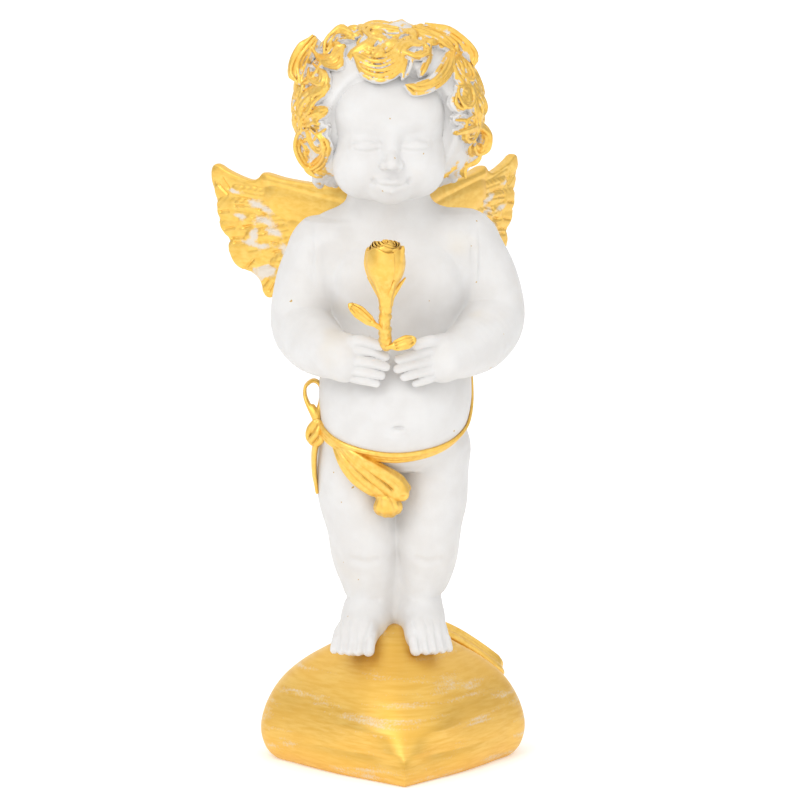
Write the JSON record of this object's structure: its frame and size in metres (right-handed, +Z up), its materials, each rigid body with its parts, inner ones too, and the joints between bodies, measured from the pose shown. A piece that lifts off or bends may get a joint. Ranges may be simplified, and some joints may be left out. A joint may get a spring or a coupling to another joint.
{
  "type": "resin angel figurine",
  "caption": "Free-standing winged cherub figurine with a rosebud and a draped sash, on a puffed heart base.",
  "frame": {"origin": "centre of the felt pad's underside, on the surface the figurine stands on, below the middle of the figure", "axes": "+Z up, -Y the way the figure faces, +X towards the figure's left hand"},
  "size_m": [0.071, 0.0738, 0.175],
  "materials": {
    "white_resin": "matt white cast resin",
    "gold_paint": "brushed satin gold paint over resin",
    "gilded_hair": "white resin with gold rubbed over the raised curls",
    "gilded_wing": "gold paint with white resin showing in the feather grooves",
    "felt": "short-nap felt",
    "steel": "plain drawn wire"
  },
  "bodies": {
    "root": {"base_felt_pad": "felt", "heart_base": "gold_paint", "base_ribbon": "gold_paint", "ankle_dowels": "steel", "legs": "white_resin", "torso": "white_resin", "neck_dowel": "steel", "arm_right": "white_resin", "arm_left": "white_resin", "head": "white_resin", "hair": "gilded_hair", "wing_right": "gilded_wing", "wing_left": "gilded_wing", "sash_belt": "gold_paint", "sash_knot": "gold_paint", "sash_bow_loop": "gold_paint", "sash_front_tail": "gold_paint", "sash_side_tail": "gold_paint", "rose_bloom": "gold_paint", "rose_calyx": "gold_paint", "rose_stem": "gold_paint", "rose_leaf_right": "gold_paint", "rose_leaf_left": "gold_paint"}
  },
  "joints": []
}
